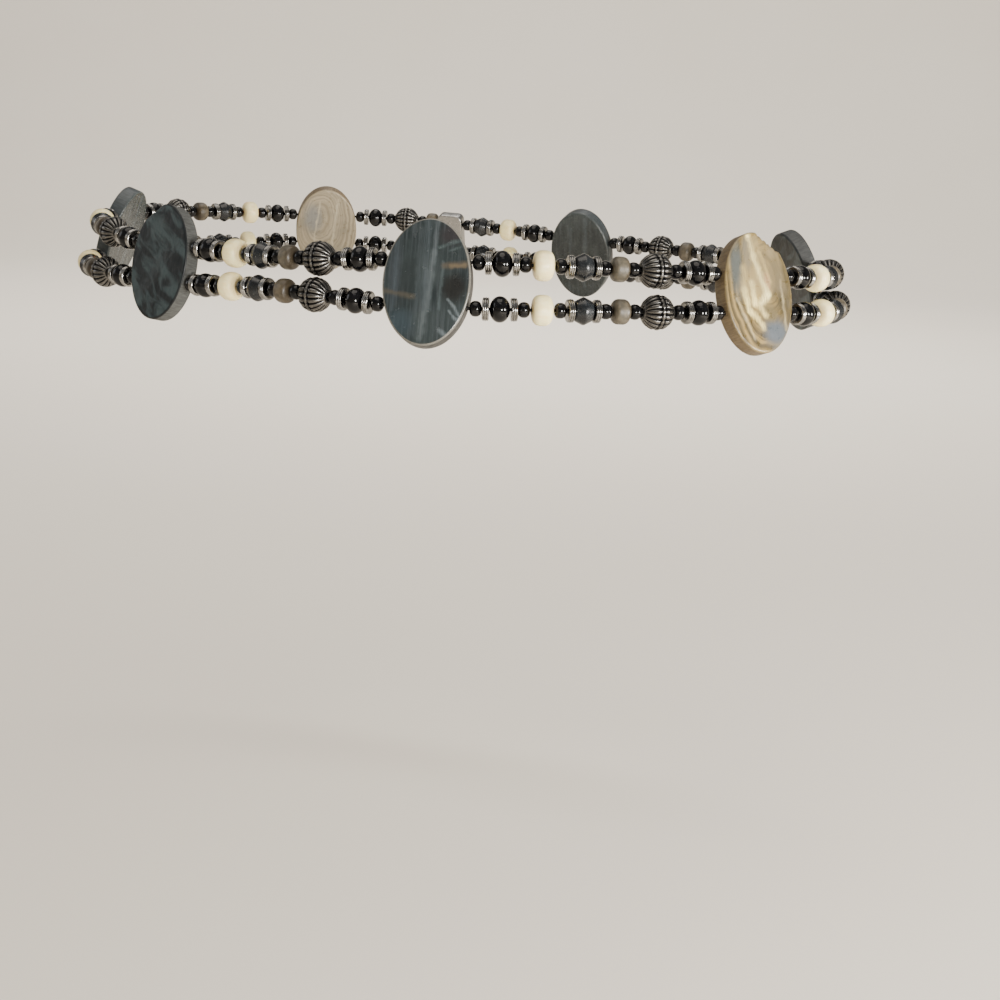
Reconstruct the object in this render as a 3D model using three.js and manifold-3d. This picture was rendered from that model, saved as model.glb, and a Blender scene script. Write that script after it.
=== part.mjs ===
// A beaded belt of two strands, closed in one loop round a waist.
// Seven flat oval slabs are drilled across, and both strands run through each of them.
// Between two slabs each strand carries the same nineteen beads. A plain clasp closes the loop at the back.
// Units are millimetres. +Z is up, the wearer faces -Y, and the origin is the middle of the waist.
import * as THREE from "three";
import { mergeVertices } from "three/addons/utils/BufferGeometryUtils.js";
import Module from "manifold-3d";

const wasm = await Module();
wasm.setup();

// Oval slabs
const SLAB_HEIGHT = 39;
const SLAB_WIDTH = 27;
const SLAB_THICKNESS = 5.8;
const SLAB_BEVEL = 0.7;
const SLAB_SIDES = 24;

// Threads, the bores that they run through, and the gap between pieces that touch
const THREAD_DIAMETER = 1;
const BORE_DIAMETER = 2;
const BORE_SIDES = 6;
const TOUCH_GAP = 0.3;
const STRING_SIDES = 10;

// Beads: length along the strand and widest diameter.
// Each profile row has the share of the length and the share of the radius there.
const BEADS = {
  small: {
    length: 3.9,
    diameter: 4.8,
    profile: [
      { along: 0.2, reach: 1 },
      { along: 0.8, reach: 1 },
    ],
  },
  spacer: { length: 2.1, diameter: 7.2, profile: [{ along: 0.5, reach: 1 }] },
  round: {
    length: 6.3,
    diameter: 8,
    profile: [
      { along: 0.12, reach: 0.66 },
      { along: 0.5, reach: 1 },
      { along: 0.88, reach: 0.66 },
    ],
  },
  bicone: {
    length: 6.2,
    diameter: 8.5,
    profile: [
      { along: 0.08, reach: 0.6 },
      { along: 0.5, reach: 1 },
      { along: 0.92, reach: 0.6 },
    ],
  },
  rondelle: {
    length: 5.5,
    diameter: 7.8,
    profile: [
      { along: 0.2, reach: 1 },
      { along: 0.8, reach: 1 },
    ],
  },
  bone: {
    length: 7.15,
    diameter: 9.3,
    sides: 10,
    profile: [
      { along: 0.2, reach: 0.97 },
      { along: 0.8, reach: 0.97 },
    ],
  },
  melon: {
    length: 11,
    diameter: 11,
    sides: 16,
    profile: [
      { along: 0.16, reach: 0.74 },
      { along: 0.5, reach: 1 },
      { along: 0.84, reach: 0.74 },
    ],
  },
};
const MELON_FLUTE_DEPTH = 0.6;

// Large beads that are drilled solids of their own; the others are fused on their thread
const LOOSE_BEADS = ["bone", "melon"];

// The beads of one stretch, from one slab to the next
const STRETCH = [
  ...["small", "spacer", "round", "spacer", "small", "bone"],
  ...["small", "spacer", "bicone", "spacer", "small", "rondelle"],
  ...["small", "melon", "small", "spacer", "round", "spacer", "small"],
];
// The clasp parts the stretch at the back after this many beads
const BEADS_BEFORE_CLASP = 11;

// Clasp
const CLASP_LENGTH = 12;
const CLASP_HEIGHT = 22;
const CLASP_THICKNESS = 5;
const CLASP_SPACING = 13;
const CLASP_CORNER = 2.5;

// Slabs in order round the belt, from the clasp by the wearer's right, front and left.
// spacing is between the two strands. slope is the slab's lean and turn its twist off the waist's line, in
// degrees. cut is how deep the rim is flattened towards cutTurn.
const SLABS = [
  { spacing: 13, slope: 19, turn: 0, cutTurn: 0, cut: 0 },
  { spacing: 17, slope: 19, turn: 0, cutTurn: 0, cut: 0 },
  { spacing: 12.4, slope: 12, turn: 6, cutTurn: 125, cut: 1 },
  { spacing: 14.1, slope: 19, turn: 0, cutTurn: 0, cut: 0 },
  { spacing: 12.4, slope: 19, turn: -6, cutTurn: 55, cut: 1.2 },
  { spacing: 12, slope: 19, turn: 0, cutTurn: 0, cut: 0 },
  { spacing: 13, slope: 19, turn: 0, cutTurn: 0, cut: 0 },
];

// How far the middle of each stretch's strands lies above a straight run between its ends,
// in order from the clasp
const STRETCH_RISES = [
  { upper: 0, lower: 0 },
  { upper: 0, lower: 0 },
  { upper: 1, lower: 0 },
  { upper: -0.8, lower: 2 },
  { upper: 0, lower: 0 },
  { upper: -1, lower: -0.5 },
  { upper: 0, lower: 0 },
  { upper: 0, lower: 0 },
];

// Waist outline seen from above: a circle with a few lobes, each a share of the mean radius.
// turn is in degrees from the wearer's front towards their left.
const WAIST_LOBES = [
  { lobes: 2, share: 0.178, turn: 90 },
  { lobes: 3, share: 0.033, turn: 6.2 },
  { lobes: 4, share: 0.021, turn: 12 },
];
const FRONT_SLAB_TURN = 21;
const BODY_SLOPE = 19;
// The belt rides a little higher and lower in turn round the body, by a share of the mean radius
const SWAY_SHARE = 0.0168;
const SWAY_TURN = 44.6;

const LOOP_STEPS = 1440;
const UP = new THREE.Vector3(0, 0, 1);
const SIDES = { upper: 1, lower: -1 };
const radians = THREE.MathUtils.degToRad;

// Share of the mean radius at which the waist's outline lies
function waistShare(angle) {
  let share = 1;
  for (const row of WAIST_LOBES) share += row.share * Math.cos(row.lobes * (angle - radians(row.turn)));
  return share;
}

// The closed line midway between the two strands
class WaistLoop extends THREE.Curve {
  constructor(meanRadius) {
    super();
    this.meanRadius = meanRadius;
    this.arcLengthDivisions = LOOP_STEPS;
  }

  getPoint(share, target = new THREE.Vector3()) {
    const angle = share * 2 * Math.PI + radians(FRONT_SLAB_TURN);
    const radius = this.meanRadius * waistShare(angle);
    const height = this.meanRadius * SWAY_SHARE * Math.cos(2 * (angle - radians(SWAY_TURN)));
    return target.set(radius * Math.sin(angle), -radius * Math.cos(angle), height);
  }
}

// Room that a slab takes along the belt: its width where the inner edge of its first bead meets it
function slabSeat(slab) {
  const height = (slab.spacing - BEADS.small.diameter) / SLAB_HEIGHT;
  return SLAB_WIDTH * Math.sqrt(1 - height ** 2);
}

function beadsLength(names) {
  return names.reduce((sum, name) => sum + BEADS[name].length, 0);
}

// What the belt is made of in order: holders, each followed by a run of beads
function layOut() {
  const clasp = { name: "clasp", length: CLASP_LENGTH, spacing: CLASP_SPACING, slope: BODY_SLOPE, turn: 0 };
  const slabs = SLABS.map((slab, i) => ({ name: `slab_${i + 1}`, length: slabSeat(slab), ...slab }));
  const holders = [clasp, ...slabs];
  const beads = [STRETCH.slice(BEADS_BEFORE_CLASP)];
  for (let i = 1; i < SLABS.length; i++) beads.push(STRETCH);
  beads.push(STRETCH.slice(0, BEADS_BEFORE_CLASP));
  let at = 0;
  holders.forEach((holder, i) => {
    holder.from = at;
    holder.to = at + holder.length;
    holder.beads = beads[i];
    holder.rises = STRETCH_RISES[i];
    at = holder.to + beadsLength(beads[i]);
  });
  return { holders, total: at };
}

const { holders: HOLDERS, total: BELT_LENGTH } = layOut();
const FRONT = Math.floor(HOLDERS.length / 2);
const LOOP = new WaistLoop(BELT_LENGTH / new WaistLoop(1).getLength());
const LOOP_START = (HOLDERS[FRONT].from + HOLDERS[FRONT].to) / 2;

// Point of the loop at a distance along the belt
function loopPoint(distance) {
  const share = (distance - LOOP_START) / BELT_LENGTH;
  return LOOP.getPointAt(share - Math.floor(share));
}

// Axes for a piece that runs along a direction: along the strand, up the body and out of it
function bodyAxes(along, slope = BODY_SLOPE) {
  const out = new THREE.Vector3(along.y, -along.x, 0).normalize().multiplyScalar(Math.cos(radians(slope)));
  out.addScaledVector(UP, Math.sin(radians(slope)));
  out.addScaledVector(along, -out.dot(along)).normalize();
  return { along, up: new THREE.Vector3().crossVectors(out, along), out };
}

// Seats a slab or the clasp: its bores lie along the chord of the loop that it spans
for (const holder of HOLDERS) {
  const start = loopPoint(holder.from);
  const end = loopPoint(holder.to);
  const chord = new THREE.Vector3().subVectors(end, start).normalize();
  Object.assign(holder, bodyAxes(chord.applyAxisAngle(UP, radians(holder.turn)), holder.slope));
  holder.centre = start.add(end).multiplyScalar(0.5);
}

// A point in one of a holder's two bores, at a distance along it from its middle
function borePoint(holder, side, along) {
  return holder.centre
    .clone()
    .addScaledVector(holder.up, (side * holder.spacing) / 2)
    .addScaledVector(holder.along, along);
}

// One strand from the middle of one holder to the middle of the next.
// A station is the distance from the first bead; negative stations lie in the first holder's bore.
class Stretch {
  constructor(first, second, strand) {
    const side = SIDES[strand];
    Object.assign(this, { first, second, side, beads: first.beads, rise: first.rises[strand] });
    this.length = beadsLength(this.beads);
    this.start = -first.length / 2;
    this.end = this.length + second.length / 2;
    this.startShift = borePoint(first, side, first.length / 2).sub(this.free(0));
    this.endShift = borePoint(second, side, -second.length / 2).sub(this.free(1));
  }

  // The strand as it would lie on the body, before it is led into the bores
  free(share) {
    const distance = this.first.to + share * this.length;
    const step = 0.5;
    const ahead = loopPoint(distance + step);
    const axes = bodyAxes(ahead.sub(loopPoint(distance - step)).normalize());
    const half = THREE.MathUtils.lerp(this.first.spacing, this.second.spacing, share) / 2;
    const rise = this.rise * Math.sin(Math.PI * share);
    return loopPoint(distance).addScaledVector(axes.up, this.side * half + rise);
  }

  point(station) {
    if (station < 0) return borePoint(this.first, this.side, this.first.length / 2 + station);
    const past = station - this.length;
    if (past > 0) return borePoint(this.second, this.side, past - this.second.length / 2);
    const share = station / this.length;
    const led = THREE.MathUtils.smoothstep(share, 0, 1);
    return this.free(share).addScaledVector(this.startShift, 1 - led).addScaledVector(this.endShift, led);
  }

  // Matrix that puts a piece's own Y axis along the strand at a station
  frame(station) {
    const step = 0.25;
    const along = this.point(station + step).sub(this.point(station - step)).normalize();
    const axes = bodyAxes(along);
    const right = new THREE.Vector3().crossVectors(axes.along, axes.out);
    return new THREE.Matrix4().makeBasis(right, axes.along, axes.out).setPosition(this.point(station));
  }
}

// A geometry as a manifold-3d solid, and back
function toSolid(geometry) {
  const bare = geometry.clone();
  bare.deleteAttribute("normal");
  bare.deleteAttribute("uv");
  const merged = mergeVertices(bare, 1e-4);
  return new wasm.Manifold(
    new wasm.Mesh({
      numProp: 3,
      vertProperties: merged.attributes.position.array,
      triVerts: new Uint32Array(merged.index.array),
    }),
  );
}

function fromSolid(solid) {
  const mesh = solid.getMesh();
  const geometry = new THREE.BufferGeometry();
  geometry.setAttribute("position", new THREE.BufferAttribute(mesh.vertProperties, 3));
  geometry.setIndex(new THREE.BufferAttribute(mesh.triVerts, 1));
  geometry.computeVertexNormals();
  return geometry;
}

// Cuts the two bores of a slab or clasp, along its own X axis
function drillTwice(solid, length, spacing) {
  const radius = BORE_DIAMETER / 2 / Math.cos(Math.PI / BORE_SIDES);
  const drill = new THREE.CylinderGeometry(radius, radius, 2 * length, BORE_SIDES).rotateZ(Math.PI / 2);
  const upper = toSolid(drill.clone().translate(0, spacing / 2, 0));
  const lower = toSolid(drill.clone().translate(0, -spacing / 2, 0));
  return fromSolid(solid.subtract(upper).subtract(lower));
}

// The oval outline inside the bevel, flattened on the side where the slab is worn or chipped
function slabOutline(slab) {
  const halfWidth = SLAB_WIDTH / 2 - SLAB_BEVEL;
  const halfHeight = SLAB_HEIGHT / 2 - SLAB_BEVEL;
  const cutWay = new THREE.Vector2(Math.cos(radians(slab.cutTurn)), Math.sin(radians(slab.cutTurn)));
  const reach = Math.hypot(halfWidth * cutWay.x, halfHeight * cutWay.y) - slab.cut;
  const points = [];
  for (let i = 0; i < SLAB_SIDES; i++) {
    const angle = (i / SLAB_SIDES) * 2 * Math.PI;
    const point = new THREE.Vector2(halfWidth * Math.cos(angle), halfHeight * Math.sin(angle));
    const past = point.dot(cutWay) - reach;
    if (past > 0) point.addScaledVector(cutWay, -past);
    points.push(point);
  }
  return new THREE.Shape(points);
}

function slabGeometry(slab) {
  const depth = SLAB_THICKNESS - 2 * SLAB_BEVEL;
  const bevel = { bevelThickness: SLAB_BEVEL, bevelSize: SLAB_BEVEL, bevelSegments: 1 };
  const oval = new THREE.ExtrudeGeometry(slabOutline(slab), { depth, ...bevel });
  return drillTwice(toSolid(oval.translate(0, 0, -depth / 2)), SLAB_WIDTH, slab.spacing);
}

function claspGeometry() {
  const x = CLASP_LENGTH / 2 - TOUCH_GAP;
  const y = CLASP_HEIGHT / 2;
  const c = CLASP_CORNER;
  const shape = new THREE.Shape();
  shape.moveTo(c - x, -y);
  shape.lineTo(x - c, -y).quadraticCurveTo(x, -y, x, c - y);
  shape.lineTo(x, y - c).quadraticCurveTo(x, y, x - c, y);
  shape.lineTo(c - x, y).quadraticCurveTo(-x, y, -x, y - c);
  shape.lineTo(-x, c - y).quadraticCurveTo(-x, -y, c - x, -y);
  const flat = { depth: CLASP_THICKNESS, bevelEnabled: false, curveSegments: 3 };
  const block = new THREE.ExtrudeGeometry(shape, flat).translate(0, 0, -CLASP_THICKNESS / 2);
  return drillTwice(toSolid(block), CLASP_LENGTH, CLASP_SPACING);
}

// Draws in every other side of a melon bead, so that ribs stand between the flutes
function flute(geometry, bead) {
  const position = geometry.attributes.position;
  const keep = 1 - (2 * MELON_FLUTE_DEPTH) / bead.diameter;
  for (let i = 0; i < position.count; i++) {
    const x = position.getX(i);
    const z = position.getZ(i);
    const side = Math.round((Math.atan2(x, z) / (2 * Math.PI)) * bead.sides);
    if (side % 2 === 0 || Math.hypot(x, z) < BORE_DIAMETER) continue;
    position.setXYZ(i, x * keep, position.getY(i), z * keep);
  }
}

// A drilled bead turned round its own Y axis, a touch gap shorter at each end than its place
function looseBeadGeometry(name) {
  const bead = BEADS[name];
  const bore = BORE_DIAMETER / 2;
  const rows = [
    { radius: bore, along: 0 },
    ...bead.profile.map((row) => ({ radius: (row.reach * bead.diameter) / 2, along: row.along })),
    { radius: bore, along: 1 },
    { radius: bore, along: 0 },
  ];
  const length = bead.length - 2 * TOUCH_GAP;
  const points = rows.map((row) => new THREE.Vector2(row.radius, (row.along - 0.5) * length));
  const geometry = new THREE.LatheGeometry(points, bead.sides);
  if (name === "melon") flute(geometry, bead);
  return geometry;
}

// Rows of radius and station for the fused beads of a stretch, with bare thread where a loose bead sits
function stretchRows(stretch) {
  const thread = THREAD_DIAMETER / 2;
  const isFused = (name) => name !== undefined && !LOOSE_BEADS.includes(name);
  const rows = [];
  let at = 0;
  stretch.beads.forEach((name, i) => {
    const bead = BEADS[name];
    const opens = !isFused(stretch.beads[i - 1]);
    const closes = !isFused(stretch.beads[i + 1]);
    if (isFused(name)) {
      if (opens) rows.push({ stretch, radius: thread, station: at + TOUCH_GAP });
      for (const row of bead.profile) {
        const radius = (row.reach * bead.diameter) / 2;
        rows.push({ stretch, radius, station: at + row.along * bead.length });
      }
      if (closes) rows.push({ stretch, radius: thread, station: at + bead.length - TOUCH_GAP });
    }
    at += bead.length;
  });
  return rows;
}

// A string runs over several stretches, from inside one holder to inside another.
// Each ring of its turned outline is set across the strand at the row's own station.
function stringGeometry(stretches) {
  const thread = THREAD_DIAMETER / 2;
  const first = stretches[0];
  const last = stretches[stretches.length - 1];
  const rows = [
    { stretch: first, radius: 0, station: first.start + TOUCH_GAP / 2 },
    { stretch: first, radius: thread, station: first.start + TOUCH_GAP / 2 },
    ...stretches.flatMap(stretchRows),
    { stretch: last, radius: thread, station: last.end - TOUCH_GAP / 2 },
    { stretch: last, radius: 0, station: last.end - TOUCH_GAP / 2 },
  ];
  const outline = rows.map((row, i) => new THREE.Vector2(row.radius, i));
  const geometry = new THREE.LatheGeometry(outline, STRING_SIDES);
  const position = geometry.attributes.position;
  const frames = rows.map((row) => row.stretch.frame(row.station));
  const point = new THREE.Vector3();
  for (let i = 0; i < position.count; i++) {
    const frame = frames[Math.round(position.getY(i))];
    point.set(position.getX(i), 0, position.getZ(i)).applyMatrix4(frame);
    position.setXYZ(i, point.x, point.y, point.z);
  }
  geometry.computeVertexNormals();
  return geometry;
}

function material(color, roughness, metalness) {
  return new THREE.MeshStandardMaterial({ color, roughness, metalness });
}

const MATERIALS = {
  slateHorn: material(0x3c474b, 0.4, 0),
  blueHorn: material(0x46565e, 0.25, 0),
  tanHorn: material(0xa0907a, 0.35, 0),
  bone: material(0xf2e6c4, 0.45, 0),
  melon: material(0x77777a, 0.35, 1),
  string: material(0x17181a, 0.2, 0),
};
const SLAB_LOOKS = ["tanHorn", "blueHorn", "slateHorn", "blueHorn", "tanHorn", "slateHorn", "blueHorn"];

const belt = new THREE.Group();

function addMesh(name, geometry, look, matrix) {
  const mesh = new THREE.Mesh(geometry, look);
  mesh.name = name;
  if (matrix) matrix.decompose(mesh.position, mesh.quaternion, mesh.scale);
  belt.add(mesh);
}

function addHolders() {
  HOLDERS.forEach((holder, i) => {
    const matrix = new THREE.Matrix4().makeBasis(holder.along, holder.up, holder.out);
    matrix.setPosition(holder.centre);
    const geometry = i === 0 ? claspGeometry() : slabGeometry(holder);
    const look = i === 0 ? MATERIALS.melon : MATERIALS[SLAB_LOOKS[i - 1]];
    addMesh(holder.name, geometry, look, matrix);
  });
}

// The drilled beads of one strand, each at the middle of its place, numbered along the strand
function addLooseBeads(stretches, ending) {
  const counts = { bone: 0, melon: 0 };
  for (const stretch of stretches) {
    let at = 0;
    for (const name of stretch.beads) {
      const middle = at + BEADS[name].length / 2;
      at += BEADS[name].length;
      if (!LOOSE_BEADS.includes(name)) continue;
      counts[name] += 1;
      const fullName = `${name}_bead_${ending}_${counts[name]}`;
      addMesh(fullName, looseBeadGeometry(name), MATERIALS[name], stretch.frame(middle));
    }
  }
}

function addStrands() {
  for (const ending of Object.keys(SIDES)) {
    const follower = (i) => HOLDERS[(i + 1) % HOLDERS.length];
    const stretches = HOLDERS.map((holder, i) => new Stretch(holder, follower(i), ending));
    addMesh(`string_${ending}_right`, stringGeometry(stretches.slice(0, FRONT)), MATERIALS.string);
    addMesh(`string_${ending}_left`, stringGeometry(stretches.slice(FRONT)), MATERIALS.string);
    addLooseBeads(stretches, ending);
  }
}

addHolders();
addStrands();

export default belt;
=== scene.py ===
import math
import random

import bpy
import numpy as np
from mathutils import Matrix, Vector


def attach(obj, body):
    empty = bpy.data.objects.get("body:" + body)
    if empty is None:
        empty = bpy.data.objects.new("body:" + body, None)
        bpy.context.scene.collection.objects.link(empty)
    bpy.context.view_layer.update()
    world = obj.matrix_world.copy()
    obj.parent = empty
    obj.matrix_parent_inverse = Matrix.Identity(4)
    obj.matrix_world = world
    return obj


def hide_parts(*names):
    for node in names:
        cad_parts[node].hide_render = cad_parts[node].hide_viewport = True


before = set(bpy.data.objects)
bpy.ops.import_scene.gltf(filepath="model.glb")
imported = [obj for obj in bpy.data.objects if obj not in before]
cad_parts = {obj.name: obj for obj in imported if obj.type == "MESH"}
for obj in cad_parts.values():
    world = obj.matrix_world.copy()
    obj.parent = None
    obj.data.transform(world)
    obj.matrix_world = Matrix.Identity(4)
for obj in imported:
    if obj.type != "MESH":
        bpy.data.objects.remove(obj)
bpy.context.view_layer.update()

MM = 0.001
rng = random.Random(41)

# The belt's route

SLAB_HEIGHT = 39.0
SLAB_WIDTH = 27.0
SLAB_THICKNESS = 5.8
SLAB_BEVEL = 0.7
THREAD_RADIUS = 0.5
BORE_RADIUS = 1.0
TOUCH_GAP = 0.3

LENGTHS = {
    "small": 3.9,
    "spacer": 2.1,
    "round": 6.3,
    "bicone": 6.2,
    "rondelle": 5.5,
    "bone": 7.15,
    "melon": 11.0,
}
DIAMETERS = {
    "small": 4.8,
    "spacer": 7.2,
    "round": 8.0,
    "bicone": 8.5,
    "rondelle": 7.8,
    "bone": 9.3,
    "melon": 11.0,
}
STRETCH = (
    "small spacer round spacer small bone small spacer bicone spacer small rondelle "
    "small melon small spacer round spacer small"
).split()
BEADS_BEFORE_CLASP = 11

CLASP_LENGTH = 12.0
CLASP_HEIGHT = 22.0
CLASP_THICKNESS = 5.0
CLASP_SPACING = 13.0
CLASP_CORNER = 2.5

# Spacing of the strands, lean and twist in degrees, and the flattened part of the rim, slab by slab
SLABS = [
    {"spacing": 13.0, "slope": 19, "turn": 0, "cut_turn": 0, "cut": 0.0},
    {"spacing": 17.0, "slope": 19, "turn": 0, "cut_turn": 0, "cut": 0.0},
    {"spacing": 12.4, "slope": 12, "turn": 6, "cut_turn": 125, "cut": 1.0},
    {"spacing": 14.1, "slope": 19, "turn": 0, "cut_turn": 0, "cut": 0.0},
    {"spacing": 12.4, "slope": 19, "turn": -6, "cut_turn": 55, "cut": 1.2},
    {"spacing": 12.0, "slope": 19, "turn": 0, "cut_turn": 0, "cut": 0.0},
    {"spacing": 13.0, "slope": 19, "turn": 0, "cut_turn": 0, "cut": 0.0},
]
# Rise of the upper and lower strand in the middle of each stretch, in millimetres
RISES = [(0, 0), (0, 0), (1, 0), (-0.8, 2), (0, 0), (-1, -0.5), (0, 0), (0, 0)]
# Lobes of the waist's outline: count, share of the mean radius, turn in degrees
WAIST_LOBES = [(2, 0.178, 90), (3, 0.033, 6.2), (4, 0.021, 12)]
# Turns and slopes in degrees. The sway is the loop's rise and fall, as a share of the mean radius
FRONT_SLAB_TURN = 21
BODY_SLOPE = 19
SWAY_SHARE = 0.0168
SWAY_TURN = 44.6
LOOP_STEPS = 1440
STRANDS = {"upper": 1, "lower": -1}
UP = np.array([0.0, 0.0, 1.0])


def unit(vector):
    return vector / np.linalg.norm(vector)


def smoothstep(share):
    return share * share * (3 - 2 * share)


def waist_point(turn):
    """Point of the closed line midway between the strands, for a mean radius of 1."""
    radius = 1.0
    for lobes, share, start in WAIST_LOBES:
        radius += share * np.cos(lobes * (turn - math.radians(start)))
    height = SWAY_SHARE * np.cos(2 * (turn - math.radians(SWAY_TURN)))
    return np.array([radius * np.sin(turn), -radius * np.cos(turn), height])


def beads_length(names):
    return sum(LENGTHS[name] for name in names)


def lay_out():
    """The holders in order, the clasp first, each with the run of beads that follows it."""
    clasp = {"name": "clasp", "length": CLASP_LENGTH, "spacing": CLASP_SPACING}
    holders = [{**clasp, "slope": BODY_SLOPE, "turn": 0}]
    for number, slab in enumerate(SLABS, start=1):
        height = (slab["spacing"] - DIAMETERS["small"]) / SLAB_HEIGHT
        seat = SLAB_WIDTH * math.sqrt(1 - height**2)
        holders.append({"name": f"slab_{number}", "length": seat, **slab})
    runs = [STRETCH[BEADS_BEFORE_CLASP:]] + [STRETCH] * (len(SLABS) - 1) + [STRETCH[:BEADS_BEFORE_CLASP]]
    at = 0.0
    for holder, beads, rises in zip(holders, runs, RISES):
        holder.update({"from": at, "to": at + holder["length"], "beads": beads, "rises": rises})
        at = holder["to"] + beads_length(beads)
    return holders, at


HOLDERS, BELT_LENGTH = lay_out()
FRONT = len(HOLDERS) // 2
LOOP_START = (HOLDERS[FRONT]["from"] + HOLDERS[FRONT]["to"]) / 2
TURNS = np.linspace(0, 2 * math.pi, LOOP_STEPS + 1) + math.radians(FRONT_SLAB_TURN)
CHORDS = np.linalg.norm(np.diff(waist_point(TURNS), axis=1), axis=0)
RUN_TO = np.concatenate([[0.0], np.cumsum(CHORDS)])
MEAN_RADIUS = BELT_LENGTH / RUN_TO[-1]


def loop_point(distance):
    share = (distance - LOOP_START) / BELT_LENGTH % 1
    return MEAN_RADIUS * waist_point(np.interp(share * RUN_TO[-1], RUN_TO, TURNS))


def body_axes(along, slope=BODY_SLOPE):
    """Axes for a piece that runs along a direction: along the strand, up the body and out of it."""
    out = unit(np.array([along[1], -along[0], 0.0])) * math.cos(math.radians(slope))
    out = out + UP * math.sin(math.radians(slope))
    out = unit(out - along * out.dot(along))
    return along, np.cross(out, along), out


def turned_about_up(vector, degrees):
    c, s = math.cos(math.radians(degrees)), math.sin(math.radians(degrees))
    return np.array([c * vector[0] - s * vector[1], s * vector[0] + c * vector[1], vector[2]])


for holder in HOLDERS:
    start, end = loop_point(holder["from"]), loop_point(holder["to"])
    chord = turned_about_up(unit(end - start), holder["turn"])
    holder["axes"] = body_axes(chord, holder["slope"])
    holder["centre"] = (start + end) / 2


def bore_point(holder, side, distance):
    along, up, _ = holder["axes"]
    return holder["centre"] + up * side * holder["spacing"] / 2 + along * distance


class Stretch:
    """One strand from the middle of one holder to the middle of the next.

    A station is the distance from the first bead; negative stations lie in the first holder's bore.
    """

    def __init__(self, first, second, strand):
        self.first = first
        self.second = second
        self.side = STRANDS[strand]
        self.beads = first["beads"]
        self.rise = first["rises"][0 if strand == "upper" else 1]
        self.length = beads_length(self.beads)
        self.start = -first["length"] / 2
        self.end = self.length + second["length"] / 2
        self.start_shift = bore_point(first, self.side, first["length"] / 2) - self.free(0)
        self.end_shift = bore_point(second, self.side, -second["length"] / 2) - self.free(1)

    def free(self, share):
        """The strand as it would lie on the body, before it is led into the bores."""
        distance = self.first["to"] + share * self.length
        step = 0.5
        _, up, _ = body_axes(unit(loop_point(distance + step) - loop_point(distance - step)))
        half = (self.first["spacing"] * (1 - share) + self.second["spacing"] * share) / 2
        return loop_point(distance) + up * (self.side * half + self.rise * math.sin(math.pi * share))

    def point(self, station):
        if station < 0:
            return bore_point(self.first, self.side, self.first["length"] / 2 + station)
        past = station - self.length
        if past > 0:
            return bore_point(self.second, self.side, past - self.second["length"] / 2)
        share = station / self.length
        led = smoothstep(share)
        return self.free(share) + self.start_shift * (1 - led) + self.end_shift * led

    def frame(self, station):
        """Right, along and out as columns, and the point, at a station."""
        step = 0.25
        along, _, out = body_axes(unit(self.point(station + step) - self.point(station - step)))
        return np.column_stack([np.cross(along, out), along, out]), self.point(station)

    def places(self):
        """Each bead's name and the station of its middle."""
        at = 0.0
        for name in self.beads:
            yield name, at + LENGTHS[name] / 2
            at += LENGTHS[name]


# Meshes


def closed_grid(rows, columns):
    """Faces of a grid that closes on itself both ways."""
    i, j = np.meshgrid(np.arange(rows), np.arange(columns), indexing="ij")
    i2, j2 = (i + 1) % rows, (j + 1) % columns
    corners = [i * columns + j, i * columns + j2, i2 * columns + j2, i2 * columns + j]
    return np.stack(corners, axis=-1).reshape(-1, 4)


def tube_faces(rings, sides, first=0):
    """Faces of a run of rings with a cap at each end. first is the number of its first point."""
    last = first + (rings - 1) * sides
    faces = [list(range(first, first + sides))[::-1], list(range(last, last + sides))]
    for a in range(first, last, sides):
        for j in range(sides):
            k = (j + 1) % sides
            faces.append([a + j, a + k, a + sides + k, a + sides + j])
    return faces


def turned(profile, sides):
    """A closed outline of (radius, along) rows turned round the Y axis, as rows by sides by 3."""
    radius, along = np.array(profile).T
    turn = np.arange(sides) * 2 * math.pi / sides
    spin = np.broadcast_to(along[:, None], (len(along), sides))
    return np.stack([radius[:, None] * np.sin(turn), spin, radius[:, None] * np.cos(turn)], axis=-1)


def swell(length, diameter, square, rows, hole):
    """Outline of a rounded bead that ends at its hole. A higher square makes it more like a drum."""
    end = math.acos((2 * hole / diameter) ** (square / 2))
    outline = []
    for turn in np.linspace(-end, end, rows):
        along = math.copysign(abs(math.sin(turn)) ** (2 / square), turn) * length / 2
        outline.append((diameter / 2 * math.cos(turn) ** (2 / square), along))
    return outline


def bored(outline, hole):
    """Adds the bore's two rows to an outline."""
    return outline + [(hole, outline[-1][1] - 0.2), (hole, outline[0][1] + 0.2)]


def ringed(length, diameter, rings, depth, rows_each):
    """Outline of a spacer that looks like a stack of thin rings."""
    hole, shoulder_radius = THREAD_RADIUS + 0.15, diameter / 2 - 0.85
    outline = [(hole, -length / 2 + 0.12), (shoulder_radius, -length / 2 + 0.06)]
    rows = rings * rows_each
    for i in range(rows + 1):
        share = i / rows
        groove = 1 - abs(math.sin(math.pi * share * rings)) ** 0.6
        shoulder = 0.28 * abs(2 * share - 1) ** 3
        outline.append((diameter / 2 - depth * groove - shoulder, (share - 0.5) * (length - 0.06)))
    outline += [(shoulder_radius, length / 2 - 0.06), (hole, length / 2 - 0.12)]
    return outline


def bicone_outline(length, diameter, rows):
    """Two blunt cones that meet in a rounded ridge."""
    outline = [(THREAD_RADIUS + 0.2, -length / 2 + 0.1)]
    for share in np.linspace(-1, 1, rows):
        ridge = math.sqrt(share * share + 0.006)
        shoulder = 0.16 * max(0.0, (abs(share) - 0.8) / 0.2) ** 2
        outline.append((diameter / 2 * (1.03 - 0.36 * ridge - shoulder), share * (length / 2 - 0.04)))
    outline.append((THREAD_RADIUS + 0.2, length / 2 - 0.1))
    return outline


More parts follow.
